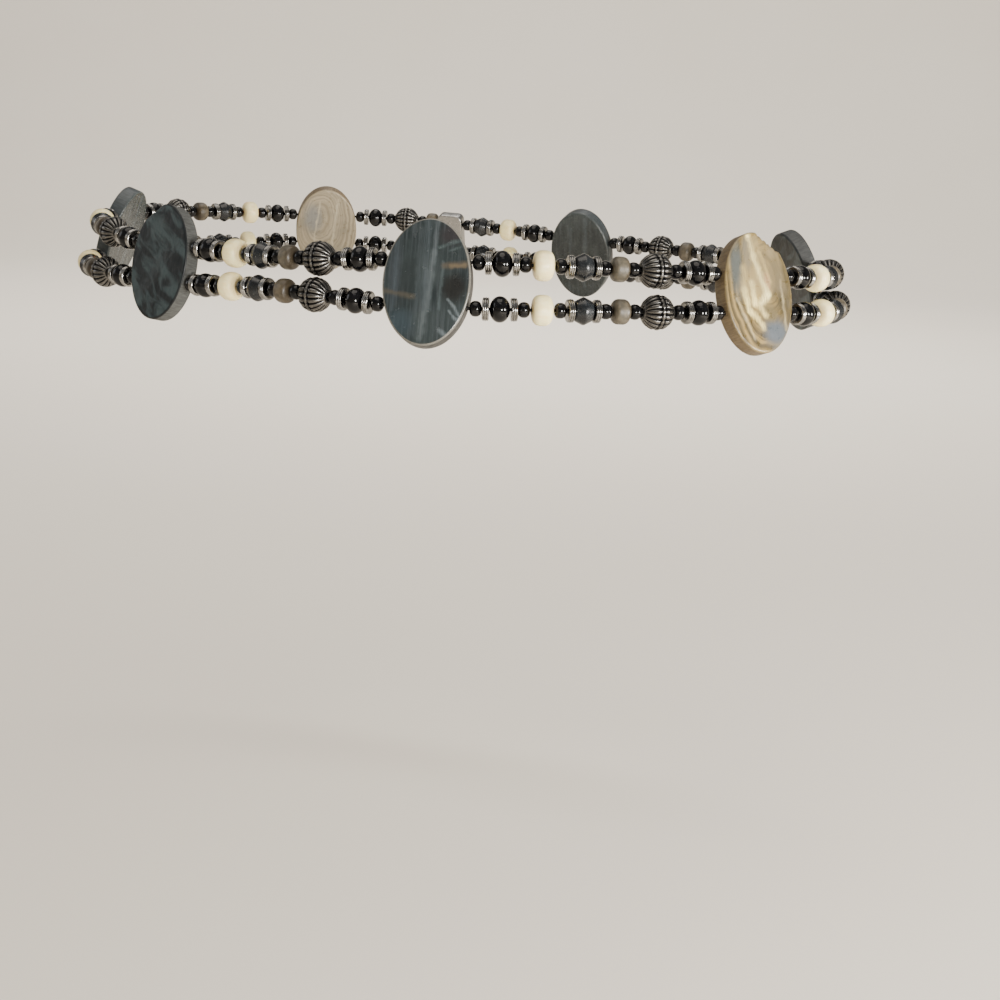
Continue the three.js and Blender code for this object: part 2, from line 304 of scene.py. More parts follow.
def melon_points():
    """A melon bead with eighteen ribs that run into a small collar at each pole, and a seam round its middle.

    Returns the points and how deep each lies in a recess, from 0 to 1.
    """
    ribs, per_rib, rows = 18, 8, 45
    half = LENGTHS["melon"] / 2 - TOUCH_GAP
    radius = DIAMETERS["melon"] / 2
    collar, collar_width, fade_width = 2.1, 0.5, 1.2
    rib_depth, rib_sharpness, seam_width = 0.62, 0.55, 0.3
    waist_half, waist_depth = 1.2, 0.12
    groove_place, groove_width, groove_depth = 0.72, 0.22, 0.28
    end = math.acos(collar / radius)
    turn = np.arange(ribs * per_rib) * 2 * math.pi / (ribs * per_rib)
    rib = np.abs(np.cos(ribs * turn / 2)) ** rib_sharpness
    points, recess = [], []
    for pole in np.linspace(-end, end, rows):
        along = half * 0.965 * math.sin(pole) / math.sin(end)
        reach = radius * math.cos(pole)
        seam = math.exp(-((along / seam_width) ** 2))
        beside = math.exp(-(((abs(along) - groove_place) / groove_width) ** 2))
        fade = min(1.0, (reach - collar) / fade_width)
        depth = (rib_depth * (1 - rib) * fade + groove_depth * beside * fade) * (1 - seam)
        r = reach - depth - waist_depth * (1 - seam) * (abs(along) < waist_half)
        points.append(np.stack([r * np.sin(turn), np.full_like(turn, along), r * np.cos(turn)], axis=-1))
        dark = np.clip((1 - rib) * 1.5 - 0.12, 0, 1) * fade + 0.75 * beside
        recess.append(np.clip(dark * (1 - seam), 0, 1))
    ends = [(collar, half), (collar - collar_width, half), (BORE_RADIUS, half - 0.35)]
    rows_out = [(r, -a) for r, a in reversed(ends)]
    first = turned(rows_out, len(turn))
    last = turned(ends, len(turn))
    shade = [np.full(len(turn), s) for s in (1.0, 0.25, 0.5)]
    return np.concatenate([first, np.array(points), last]), np.array(shade + recess + shade[::-1])


def finish_mesh(name, points, faces, places, material, sharp=None, **extras):
    """Makes the piece from millimetre points. places are the points in the bead's or slab's own axes."""
    mesh = bpy.data.meshes.new(name)
    mesh.from_pydata((np.asarray(points) * MM).tolist(), [], [list(map(int, face)) for face in faces])
    mesh.polygons.foreach_set("use_smooth", [True] * len(mesh.polygons))
    if sharp:
        mesh.set_sharp_from_angle(angle=math.radians(sharp))
    layer = mesh.attributes.new("place", "FLOAT_VECTOR", "POINT")
    layer.data.foreach_set("vector", np.asarray(places, dtype=np.float32).ravel())
    for key, values in extras.items():
        layer = mesh.attributes.new(key, "FLOAT", "POINT")
        layer.data.foreach_set("value", np.asarray(values, dtype=np.float32).ravel())
    mesh.materials.append(material)
    mesh.update()
    piece = bpy.data.objects.new(name, mesh)
    bpy.context.scene.collection.objects.link(piece)
    return piece


def placed(local, axes, centre):
    return local @ axes.T + centre


def rolled(local, turn):
    """Points turned about their own Y axis."""
    c, s = math.cos(turn), math.sin(turn)
    return local @ np.array([[c, 0, -s], [0, 1, 0], [s, 0, c]])


def tilt(lean, sway):
    """A small turn about the X and Z axes."""
    return np.array([[1, -sway, 0], [sway, 1, -lean], [0, lean, 1]])


class Heap:
    """Many beads gathered into one mesh."""

    def __init__(self):
        self.points, self.faces, self.places, self.picks, self.count = [], [], [], [], 0

    def add(self, grid, axes, centre):
        rows, columns, _ = grid.shape
        local = grid.reshape(-1, 3)
        turn = rng.uniform(0, 2 * math.pi)
        lean = math.radians(rng.uniform(-2.5, 2.5))
        sway = math.radians(rng.uniform(-2.0, 2.0))
        slack = axes @ tilt(lean, sway)
        self.points.append(placed(rolled(local, turn), slack, centre))
        self.faces.append(closed_grid(rows, columns) + self.count)
        self.places.append(local)
        self.picks.append(np.full(len(local), rng.random()))
        self.count += len(local)

    def piece(self, name, material, sharp=None):
        joined = [np.concatenate(part) for part in (self.points, self.faces, self.places, self.picks)]
        return finish_mesh(name, joined[0], joined[1], joined[2], material, sharp, pick=joined[3])


# Finishes


def tone(red, green, blue):
    """A colour given as 0 to 255 screen values."""
    linear = []
    for value in (red / 255, green / 255, blue / 255):
        linear.append(value / 12.92 if value <= 0.04045 else ((value + 0.055) / 1.055) ** 2.4)
    return (*linear, 1.0)


class Finish:
    """A procedural material, built node by node."""

    def __init__(self, name, **settings):
        self.material = bpy.data.materials.new(name)
        self.material.use_nodes = True
        self.tree = self.material.node_tree
        self.surface = self.tree.nodes["Principled BSDF"]
        for key, value in settings.items():
            self.surface.inputs[key.replace("_", " ")].default_value = value

    def node(self, kind, inputs, **properties):
        node = self.tree.nodes.new(kind)
        for key, value in properties.items():
            setattr(node, key, value)
        for key, value in inputs.items():
            if isinstance(value, bpy.types.NodeSocket):
                self.tree.links.new(value, node.inputs[key])
            elif value is not None:
                node.inputs[key].default_value = value
        return node

    def attribute(self, name, output):
        return self.node("ShaderNodeAttribute", {}, attribute_name=name).outputs[output]

    def math(self, operation, a, b=0.0):
        return self.node("ShaderNodeMath", {0: a, 1: b}, operation=operation).outputs[0]

    def vector(self, operation, a, b=None, output=0):
        return self.node("ShaderNodeVectorMath", {0: a, 1: b}, operation=operation).outputs[output]

    def axis(self, vector, which):
        return self.node("ShaderNodeSeparateXYZ", {0: vector}).outputs[which]

    def noise(self, vector, scale, detail=3.0, distortion=0.0):
        inputs = {"Vector": vector, "Scale": scale, "Detail": detail, "Distortion": distortion}
        return self.node("ShaderNodeTexNoise", inputs).outputs[0]

    def step(self, value, low, high, to_low=0.0, to_high=1.0):
        inputs = {0: value, 1: low, 2: high, 3: to_low, 4: to_high}
        return self.node("ShaderNodeMapRange", inputs, interpolation_type="SMOOTHSTEP").outputs[0]

    def mix(self, factor, a, b):
        return self.node("ShaderNodeMix", {0: factor, 6: a, 7: b}, data_type="RGBA").outputs[2]

    def own_place(self):
        """The point in the piece's own axes, shifted by a different amount on each bead for its noise."""
        place = self.attribute("place", "Vector")
        pick = self.attribute("pick", "Fac")
        shift = self.node("ShaderNodeCombineXYZ", {0: self.math("MULTIPLY", pick, 80.0)}).outputs[0]
        return place, self.vector("ADD", place, shift), pick

    def streak(self, place, colour, row, fibres):
        """Mixes a soft, fibrous line between two points of the slab's face into a colour."""
        ax, ay, bx, by, width, tint, strength = row
        run = (bx - ax, by - ay, 0.0)
        flat = self.vector("MULTIPLY", place, (1, 1, 0))
        from_a = self.vector("SUBTRACT", flat, (ax, ay, 0.0))
        along = self.vector("DOT_PRODUCT", from_a, run, "Value")
        share = self.math("DIVIDE", along, run[0] ** 2 + run[1] ** 2)
        held = self.node("ShaderNodeClamp", {0: share}).outputs[0]
        line = self.vector("SCALE", run)
        self.tree.links.new(held, line.node.inputs["Scale"])
        distance = self.vector("LENGTH", self.vector("SUBTRACT", from_a, line), output="Value")
        mask = self.math("MULTIPLY", self.step(distance, width, 0.0, 0.0, strength), fibres)
        return self.mix(mask, colour, tone(*tint))

    def patch(self, place, colour, row):
        """Mixes a soft oval spot into a colour."""
        x, y, half_width, half_height, tint, strength = row
        shifted = self.vector("SUBTRACT", place, (x, y, 0.0))
        scaled = self.vector("MULTIPLY", shifted, (1 / half_width, 1 / half_height, 0.0))
        mask = self.step(self.vector("LENGTH", scaled, output="Value"), 1.2, 0.35, 0.0, strength)
        return self.mix(mask, colour, tone(*tint))

    def bump(self, height, strength, distance):
        inputs = {"Height": height, "Strength": strength, "Distance": distance * MM}
        normal = self.node("ShaderNodeBump", inputs).outputs[0]
        self.tree.links.new(normal, self.surface.inputs["Normal"])

    def colour(self, socket):
        self.tree.links.new(socket, self.surface.inputs["Base Color"])

    def roughness(self, socket):
        self.tree.links.new(socket, self.surface.inputs["Roughness"])


def wall_masks(finish, place):
    """Masks of a slab's side wall and of the rounded edge between it and the faces. The edge mask carries a
    painted rim highlight on the paler slabs and a dark line on slab_3 and slab_6.
    """
    depth = finish.math("ABSOLUTE", finish.axis(place, 2))
    face = SLAB_THICKNESS / 2
    shoulder = face - SLAB_BEVEL
    wall = finish.step(depth, face - 0.3, shoulder)
    rise = finish.step(depth, shoulder, face - 0.4)
    edge = finish.math("MULTIPLY", rise, finish.step(depth, face, face - 0.08))
    return wall, edge


# How far the patterns on a slab's face wander, in millimetres
WARP = (1.6, 1.6, 0)


def slab_finish(name, wall_tint, edge_tint, edge_share, roughness, shade, colour_of, gloss=0.4):
    """A horn slab: its face's colour, a duller side wall with fine saw lines, and its edge, tinted with a
    painted rim highlight on the paler slabs and a dark line on slab_3 and slab_6.
    """
    finish = Finish(name, IOR=1.54, Specular_IOR_Level=gloss)
    place = finish.attribute("place", "Vector")
    warp = finish.node("ShaderNodeTexNoise", {"Vector": place, "Scale": 0.35, "Detail": 2.0}).outputs[1]
    nudge = finish.vector("MULTIPLY", finish.vector("SUBTRACT", warp, (0.5, 0.5, 0.5)), WARP)
    bent = finish.vector("ADD", place, nudge)
    colour = finish.vector("SCALE", colour_of(finish, place, bent))
    colour.node.inputs["Scale"].default_value = shade
    wall, edge = wall_masks(finish, place)
    lines = finish.noise(finish.vector("MULTIPLY", place, (2.2, 2.2, 0.35)), 1.0, 4.0)
    grain = finish.step(lines, 0.35, 0.65, 0.72, 1.12)
    dulled = finish.vector("SCALE", tone(*wall_tint)[:3])
    finish.tree.links.new(grain, dulled.node.inputs["Scale"])
    colour = finish.mix(wall, colour, dulled)
    # Edge tint over the face's colour: a painted highlight along the rim where it is pale, a dark line where
    # it is dark.
    colour = finish.mix(finish.math("MULTIPLY", edge, edge_share), colour, tone(*edge_tint))
    finish.colour(colour)
    smudge = finish.noise(place, 0.4, 5.0)
    polish = finish.step(smudge, 0.3, 0.75, roughness - 0.04, roughness + 0.09)
    finish.roughness(finish.math("ADD", polish, finish.math("MULTIPLY", wall, 0.22)))
    waves = finish.noise(finish.vector("MULTIPLY", place, (0.5, 0.16, 0.5)), 1.0, 2.0)
    fine = finish.math("MULTIPLY", lines, finish.math("ADD", finish.math("MULTIPLY", wall, 0.25), 0.01))
    finish.bump(finish.math("ADD", waves, fine), 0.3, 0.5)
    return finish.material


def blue_colour(streaks, patches, shift):
    """Dark blue-grey horn with fibres up and down."""

    def colour_of(finish, place, bent):
        moved = finish.vector("ADD", place, (shift, shift * 2, 0))
        fibres = finish.noise(finish.vector("MULTIPLY", moved, (1.5, 0.07, 1)), 1.0, 6.0)
        threads = finish.noise(finish.vector("MULTIPLY", moved, (3.6, 0.1, 1)), 1.0, 4.0)
        clouds = finish.noise(moved, 0.11, 3.0)
        dark = finish.mix(finish.step(clouds, 0.35, 0.65), tone(56, 65, 66), tone(76, 86, 86))
        colour = finish.mix(finish.step(fibres, 0.42, 0.8), dark, tone(98, 105, 108))
        for row in patches:
            colour = finish.patch(bent, colour, row)
        grain = finish.step(threads, 0.36, 0.6, 0.4, 1.0)
        for row in streaks:
            red, _, blue = row[5]
            colour = finish.streak(bent, colour, row, 1.0 if red > blue else grain)
        return colour

    return colour_of


def dark_colour(streaks, shift):
    """Slate-grey horn with faint mottled veins."""

    def colour_of(finish, place, bent):
        moved = finish.vector("ADD", place, (shift, -shift, 0))
        slanted = finish.node("ShaderNodeMapping", {"Vector": moved, "Rotation": (0, 0, 0.75)}).outputs[0]
        veins = finish.noise(finish.vector("MULTIPLY", slanted, (0.1, 0.22, 1)), 1.0, 6.0, 0.8)
        speckle = finish.noise(moved, 0.8, 5.0)
        colour = finish.mix(finish.step(veins, 0.4, 0.62), tone(25, 35, 38), tone(96, 116, 118))
        colour = finish.mix(finish.step(speckle, 0.38, 0.25, 0, 0.6), colour, tone(24, 28, 31))
        grain = finish.step(speckle, 0.3, 0.6, 0.4, 1.0)
        for row in streaks:
            colour = finish.streak(bent, colour, row, grain)
        return colour

    return colour_of


# The growth bands' common centre on the face, how they are squashed, and how dark their clouds are
BAND_CENTRE = (3.4, 6.0, 0)
BAND_SQUASH = (1.0, 0.55, 0)
CLOUD_DARKNESS = 0.74


def tan_colour(streaks, patches, shift, band, ground):
    """Tan horn whose growth bands lie in nested ovals. band and ground are its darkest and palest tones."""

    def colour_of(finish, place, bent):
        moved = finish.vector("ADD", bent, (shift, shift, 0))
        from_core = finish.vector("MULTIPLY", finish.vector("SUBTRACT", place, BAND_CENTRE), BAND_SQUASH)
        rings = finish.vector("LENGTH", from_core, output="Value")
        ripple = finish.math("ADD", rings, finish.math("MULTIPLY", finish.noise(moved, 0.09, 2.0), 3.6))
        bands = finish.node(
            "ShaderNodeTexNoise", {"W": ripple, "Scale": 0.95, "Detail": 4.0}, noise_dimensions="1D"
        )
        colour = finish.mix(finish.step(bands.outputs[0], 0.34, 0.68), tone(*band), tone(*ground))
        clouds = finish.noise(moved, 0.14, 2.0)
        cloud_tone = tone(*(CLOUD_DARKNESS * value for value in ground))
        colour = finish.mix(finish.step(clouds, 0.5, 0.75, 0, 0.6), colour, cloud_tone)
        for row in patches:
            colour = finish.patch(bent, colour, row)
        threads = finish.noise(finish.vector("MULTIPLY", moved, (2.8, 0.3, 1)), 1.0, 3.0)
        grain = finish.step(threads, 0.34, 0.6, 0.4, 1.0)
        for row in streaks:
            colour = finish.streak(bent, colour, row, grain)
        return colour

    return colour_of


# Streaks: x and y of both ends, width, tint, strength. Patches: x, y, half width, half height, tint, strength
PALE = (150, 162, 166)
FRONT_STREAKS = [
    (2.2, 19.5, 1.6, 6.0, 1.3, (124, 133, 137), 0.8),
    (1.7, 9.0, 1.0, -4.5, 1.5, (132, 142, 145), 0.85),
    (0.9, -3.0, -0.9, -17.0, 1.8, (128, 138, 140), 0.85),
    (-0.6, 18.0, -0.2, -8.0, 1.8, (104, 114, 118), 0.8),
    (-2.4, 16.0, -2.6, -16.0, 1.5, (94, 103, 106), 0.7),
    (0.4, 3.0, 1.4, -8.0, 1.6, (116, 126, 129), 0.75),
    (4.6, 6.0, 4.4, -8.0, 1.0, (112, 124, 126), 0.8),
    (-9.6, 12.0, -9.9, -9.0, 1.2, (96, 106, 112), 0.7),
    (5.0, 5.0, 13.2, 5.8, 1.6, (124, 114, 98), 0.75),
    (7.0, 4.9, 11.4, 5.3, 0.8, (152, 134, 106), 0.8),
    (-13.2, -3.4, -3.4, -4.6, 1.2, (112, 106, 92), 0.7),
    (7.0, -5.3, 11.8, -11.2, 0.7, PALE, 1.0),
    (7.6, -8.4, 11.0, -12.6, 0.6, PALE, 0.9),
    (9.0, -10.4, 10.8, -11.6, 0.9, PALE, 1.0),
    (5.0, -14.6, 8.4, -16.8, 0.9, PALE, 0.9),
    (3.2, 10.6, 9.6, 12.9, 0.9, (112, 128, 128), 0.8),
    (6.4, 9.4, 9.4, 10.6, 0.7, (110, 124, 124), 0.7),
]
FRONT_PATCHES = [
    (8.6, -1.8, 4.6, 5.6, (50, 48, 45), 0.85),
    (6.6, 14.4, 4.5, 3.6, (72, 66, 68), 0.8),
    (-5.6, 1.0, 3.2, 9.0, (58, 66, 66), 0.7),
    (-7.0, -13.0, 5.0, 5.0, (80, 96, 104), 0.6),
    (-9.8, 2.0, 2.4, 11.0, (82, 88, 94), 0.6),
]
# slab_5's streaks. The cream rows are partly pale streaks of the horn and partly a painted highlight: the
# wavy sheen across the middle of the polished face. The darker rows are the horn's own bands.
RIGHT_STREAKS_AND_SHEEN = [
    (-2.8, 19.5, -1.0, 11.0, 1.8, (255, 236, 168), 0.8),
    (-1.0, 11.4, 3.2, -0.4, 2.0, (255, 236, 164), 0.85),
    (-0.8, 10.0, 3.3, -0.8, 0.8, (255, 240, 176), 0.7),
    (1.8, 13.0, 5.0, 3.4, 1.3, (240, 212, 134), 0.45),
    (0.4, 13.6, 4.0, 3.0, 0.6, (122, 104, 70), 0.45),
    (-5.4, 8.0, -6.0, 0.5, 2.0, (228, 202, 128), 0.45),
    (-6.0, 0.8, -4.4, -6.2, 2.0, (255, 236, 162), 0.75),
    (-4.4, -6.0, 0.4, -11.0, 1.9, (255, 232, 154), 0.7),
    (-2.8, 3.0, -2.4, -3.2, 1.9, (255, 236, 164), 0.8),
    (-2.4, -3.0, 1.8, -7.2, 1.7, (255, 232, 156), 0.65),
    (3.4, -0.4, 0.6, -3.2, 2.2, (255, 239, 172), 0.9),
    (-4.3, 3.0, -3.5, -4.6, 0.7, (106, 88, 54), 0.55),
    (-3.5, -4.4, 0.7, -9.0, 0.7, (106, 88, 54), 0.55),
    (-7.6, 1.0, -6.4, -7.0, 0.7, (102, 84, 50), 0.55),
    (-6.4, -6.8, -1.6, -13.2, 0.7, (102, 84, 50), 0.55),
    (-9.6, -2.0, -3.6, -15.0, 1.0, (190, 176, 138), 0.5),
    (7.4, 12.0, 8.8, -6.0, 1.6, (65, 57, 37), 0.68),
    (10.4, 8.0, 11.2, -9.0, 1.5, (68, 60, 40), 0.64),
    (5.6, 9.0, 6.2, 1.0, 1.2, (83, 73, 50), 0.56),
    (9.2, 4.0, 9.6, -12.0, 0.9, (176, 162, 124), 0.6),
]
# The first patch is the pale middle of slab_5's face, partly the horn's pale core and partly the same painted
# sheen; the others are the horn's own patches.
RIGHT_PATCHES = [
    (-1.2, 1.5, 6.5, 9.5, (174, 150, 94), 0.7),
    (0.2, 13.0, 2.2, 7.0, (172, 152, 100), 0.6),
    (7.0, 13.6, 3.0, 2.8, (140, 125, 96), 0.7),
    (5.4, -12.8, 6.4, 5.6, (84, 90, 95), 1.0),
    (-8.2, 7.5, 3.4, 12.0, (79, 82, 77), 1.0),
    (-3.6, 12.5, 2.2, 7.0, (104, 101, 88), 0.8),
    (3.6, 3.4, 1.5, 3.4, (186, 142, 102), 0.9),
    (3.0, -6.6, 4.6, 3.4, (102, 90, 60), 0.9),
    (9.4, 2.0, 4.4, 13.0, (74, 65, 41), 0.85),
]
BACK_STREAKS = [
    (-3.0, 17.0, -2.0, -14.0, 1.6, (112, 124, 130), 0.7),
    (4.0, 12.0, 5.0, -16.0, 1.2, (98, 110, 116), 0.6),
]
SIDE_STREAKS = [
    (-9.0, -13.0, 2.0, 2.0, 3.2, (82, 91, 94), 0.7),
    (-3.0, -9.0, 9.0, 7.0, 1.0, (84, 94, 96), 0.5),
]
DARK_STREAKS = [(-6.0, 12.0, 4.0, -12.0, 1.6, (70, 74, 76), 0.6)]
TAN_STREAKS = [
    (-5.0, 15.0, -2.0, -12.0, 0.9, (232, 220, 188), 0.85),
    (3.0, 14.0, 6.0, -8.0, 0.7, (226, 214, 182), 0.8),
]
TAN_PATCHES = [(6.0, 6.0, 5.0, 8.0, (150, 150, 146), 0.8), (-6.0, -10.0, 5.0, 4.0, (170, 160, 136), 0.8)]

# shade darkens the face's colours, and edge_share is how much of the edge's tint shows. A pale edge tint is a
# painted highlight along the rounded rim; the dark tints of slab_3 and slab_6 draw a dark line round the
# face.
SLAB_FINISHES = {
    "slab_1": {
        "slot": "horn_tan",
        "wall_tint": (112, 96, 72),
        "edge_tint": (150, 138, 110),
        "edge_share": 0.6,
        "roughness": 0.3,
        "shade": 0.5,
        "colour_of": tan_colour(TAN_STREAKS, TAN_PATCHES, 31, (166, 152, 124), (204, 190, 160)),
    },
    "slab_2": {
        "slot": "horn_blue",
        "wall_tint": (58, 64, 66),
        "edge_tint": (84, 90, 90),
        "edge_share": 0.5,
        "roughness": 0.24,
        "shade": 0.42,
        "colour_of": blue_colour(BACK_STREAKS, [], 17),
    },
    "slab_3": {
        "slot": "horn_dark",
        "wall_tint": (78, 79, 77),
        "edge_tint": (20, 23, 25),
        "edge_share": 0.95,
        "roughness": 0.42,
        "shade": 0.26,
        "colour_of": dark_colour(SIDE_STREAKS, 5),
        "gloss": 0.22,
    },
    "slab_4": {
        "slot": "horn_blue",
        "wall_tint": (42, 41, 38),
        "edge_tint": (120, 116, 106),
        "edge_share": 0.7,
        "roughness": 0.2,
        "shade": 0.36,
        "colour_of": blue_colour(FRONT_STREAKS, FRONT_PATCHES, 3),
    },
    "slab_5": {
        "slot": "horn_tan",
        "wall_tint": (104, 88, 62),
        "edge_tint": (126, 112, 82),
        "edge_share": 0.5,
        "roughness": 0.3,
        "shade": 0.94,
        "colour_of": tan_colour(RIGHT_STREAKS_AND_SHEEN, RIGHT_PATCHES, 0, (76, 64, 36), (144, 122, 74)),
    },
    "slab_6": {
        "slot": "horn_dark",
        "wall_tint": (56, 57, 56),
        "edge_tint": (22, 24, 26),
        "edge_share": 0.7,
        "roughness": 0.38,
        "shade": 0.3,
        "colour_of": dark_colour(DARK_STREAKS, 23),
    },
    "slab_7": {
        "slot": "horn_blue",
        "wall_tint": (58, 64, 66),
        "edge_tint": (84, 90, 90),
        "edge_share": 0.5,
        "roughness": 0.24,
        "shade": 0.42,
        "colour_of": blue_colour(BACK_STREAKS, [], 47),
    },
}


def bone_finish():
    finish = Finish("ivory_bone", IOR=1.52, Subsurface_Weight=0.12, Subsurface_Scale=0.0015)
    finish.surface.inputs["Subsurface Radius"].default_value = (1.0, 0.6, 0.35)
    place, own, pick = finish.own_place()
    rings = finish.noise(finish.vector("MULTIPLY", own, (1, 0.25, 1)), 0.9, 5.0)
    colour = finish.mix(finish.step(rings, 0.35, 0.72), tone(255, 242, 188), tone(247, 228, 160))
    colour = finish.mix(finish.math("MULTIPLY", pick, 0.35), colour, tone(240, 220, 168))
    ends = finish.step(finish.math("ABSOLUTE", finish.axis(place, 1)), 2.5, 3.35, 0.0, 0.55)
    finish.colour(finish.mix(ends, colour, tone(186, 158, 112)))
    finish.roughness(finish.step(finish.noise(own, 1.4), 0.3, 0.7, 0.3, 0.46))
    finish.bump(finish.noise(finish.vector("MULTIPLY", own, (1, 0.2, 1)), 1.6, 5.0), 0.25, 0.12)
    return finish.material


def glass_finish():
    finish = Finish("black_bead_glass", IOR=1.52, Specular_IOR_Level=0.3)
    _, own, _ = finish.own_place()
    cloud = finish.noise(own, 0.5, 3.0)
    finish.colour(finish.mix(finish.step(cloud, 0.35, 0.7), tone(4, 4, 5), tone(11, 11, 12)))
    finish.roughness(finish.step(finish.noise(own, 1.1, 4.0), 0.35, 0.75, 0.03, 0.08))
    finish.bump(cloud, 0.08, 0.15)
    return finish.material


def silver_finish(name, bright, dark, roughness, dents=0.2):
    """Silver-coloured metal. Points that lie in a recess are blackened."""
    finish = Finish(name, Metallic=1.0)
    _, own, pick = finish.own_place()
    recess = finish.attribute("recess", "Fac")
    wear = finish.noise(own, 0.8, 5.0)
    colour = finish.mix(finish.step(wear, 0.3, 0.7, 0.0, 0.6), bright, dark)
    colour = finish.mix(finish.math("MULTIPLY", pick, 0.25), colour, dark)
    finish.colour(finish.mix(finish.step(recess, 0.08, 0.6), colour, tone(14, 14, 15)))
    rough = finish.step(wear, 0.3, 0.75, roughness, roughness + 0.14)
    finish.roughness(finish.math("ADD", rough, finish.math("MULTIPLY", recess, 0.3)))
    finish.bump(finish.noise(own, 2.4, 4.0), dents, 0.1)
    return finish.material


def bicone_finish():
    finish = Finish("slate_bicone", IOR=1.5)
    _, own, pick = finish.own_place()
    cloud = finish.noise(own, 0.45, 4.0)
    colour = finish.mix(finish.step(cloud, 0.35, 0.7), tone(15, 17, 19), tone(30, 34, 37))
    finish.colour(finish.mix(finish.math("MULTIPLY", pick, 0.4), colour, tone(20, 20, 20)))
    finish.roughness(finish.step(finish.noise(own, 1.5, 3.0), 0.3, 0.7, 0.2, 0.34))
    finish.bump(finish.noise(own, 1.8, 4.0), 0.25, 0.08)
    return finish.material


def rondelle_finish():
    finish = Finish("brown_rondelle_horn", IOR=1.5)
    place, own, pick = finish.own_place()
    mottle = finish.noise(own, 0.55, 5.0, 0.4)
    colour = finish.mix(finish.step(mottle, 0.34, 0.68), tone(94, 84, 66), tone(60, 52, 37))
    colour = finish.mix(finish.math("MULTIPLY", pick, 0.4), colour, tone(80, 80, 74))
    drift = finish.math("MULTIPLY", finish.noise(own, 0.4, 2.0), 2.0)
    end = finish.step(finish.math("ADD", finish.axis(place, 1), drift), 1.6, 3.0, 0.0, 0.75)
    finish.colour(finish.mix(end, colour, tone(50, 40, 24)))
    finish.roughness(finish.step(mottle, 0.3, 0.7, 0.36, 0.5))
    finish.bump(finish.noise(own, 2.0, 5.0), 0.35, 0.1)
    return finish.material


def thread_finish():
    finish = Finish("black_thread", Roughness=0.7)
    place = finish.attribute("place", "Vector")
    twist = finish.math("ADD", finish.math("MULTIPLY", finish.axis(place, 0), 3.0), finish.axis(place, 1))
    strands = finish.math("SINE", finish.math("MULTIPLY", twist, 2 * math.pi))
    fuzz = finish.noise(place, 3.0, 3.0)
    finish.colour(finish.mix(fuzz, tone(10, 10, 10), tone(26, 25, 25)))
    finish.bump(strands, 0.6, 0.1)
    return finish.material


# Slabs and clasp


def offset_outline(outline, distance):
    """A convex outline moved outwards along its own normals."""
    ahead = np.roll(outline, -1, axis=0) - np.roll(outline, 1, axis=0)
    ahead /= np.linalg.norm(ahead, axis=1, keepdims=True)
    return outline + distance * np.stack([ahead[:, 1], -ahead[:, 0]], axis=-1)


def slab_outline(slab, sides=144):
    """The oval inside the bevel, flattened where it is worn, and how far past the cut each point was."""
    half_width = SLAB_WIDTH / 2 - SLAB_BEVEL
    half_height = SLAB_HEIGHT / 2 - SLAB_BEVEL
    turn = np.arange(sides) * 2 * math.pi / sides
    outline = np.stack([half_width * np.cos(turn), half_height * np.sin(turn)], axis=-1)
    way = np.array([math.cos(math.radians(slab["cut_turn"])), math.sin(math.radians(slab["cut_turn"]))])
    reach = math.hypot(half_width * way[0], half_height * way[1]) - slab["cut"]
    past = np.maximum(0, outline @ way - reach)
    return outline - past[:, None] * way, past


def plate(outline, thickness, bevel, chips=None):
    """Points and faces of a flat plate with rounded edges. chips is how far the front edge is worn back."""
    half = thickness / 2
    steps = np.linspace(0, math.pi / 2, 6)
    front = [(bevel * math.cos(t), half - bevel + bevel * math.sin(t)) for t in steps] + [(-0.25, half)]
    rows = [(o, -z) for o, z in reversed(front)] + front
    sides = len(outline)
    points = []
    for offset, z in rows:
        ring = offset_outline(outline, offset)
        lift = np.full(sides, z)
        if chips is not None and z > half - bevel:
            depth = (z - half + bevel) / bevel
            inward = (offset_outline(outline, 1) - outline) * (chips * depth)[:, None]
            ring = ring - inward
            lift = lift - chips * depth * 0.45
        points.append(np.column_stack([ring, lift]))
    return np.concatenate(points), tube_faces(len(rows), sides)


def raw_object(name, points, faces):
    mesh = bpy.data.meshes.new(name)
    mesh.from_pydata(np.asarray(points).tolist(), [], faces)
    thing = bpy.data.objects.new(name, mesh)
    bpy.context.scene.collection.objects.link(thing)
    return thing


def drilled(points, faces, length, spacing):
    """Cuts the two bores, along X, and returns the points and faces that remain."""
    sides = 24
    turn = np.arange(sides) * 2 * math.pi / sides
    drill_points, drill_faces = [], []
    for side in (1, -1):
        base = len(drill_points) * sides
        for x in (-length, length):
            across = side * spacing / 2 + BORE_RADIUS * np.cos(turn)
            drill_points.append(np.column_stack([np.full(sides, x), across, BORE_RADIUS * np.sin(turn)]))
        drill_faces += tube_faces(2, sides, base)
    blank = raw_object("blank", points, faces)
    drill = raw_object("drill", np.concatenate(drill_points), drill_faces)
    cut = blank.modifiers.new("bores", "BOOLEAN")
    cut.operation = "DIFFERENCE"
    cut.solver = "EXACT"
    cut.object = drill
    bpy.context.view_layer.update()
    result = blank.evaluated_get(bpy.context.evaluated_depsgraph_get()).to_mesh()
    left = np.array([v.co[:] for v in result.vertices])
    kept = [list(p.vertices) for p in result.polygons]
    for thing in (blank, drill):
        bpy.data.objects.remove(thing)
    return left, kept


def hold(piece, node):
    """Hangs a piece on the root body and hides the part it stands for."""
    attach(piece, "root")
    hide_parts(node)


def build_holder(holder, local, faces, material, name):
    axes = np.column_stack(holder["axes"])
    piece = finish_mesh(name, placed(local, axes, holder["centre"]), faces, local, material, 38)
    hold(piece, holder["name"])


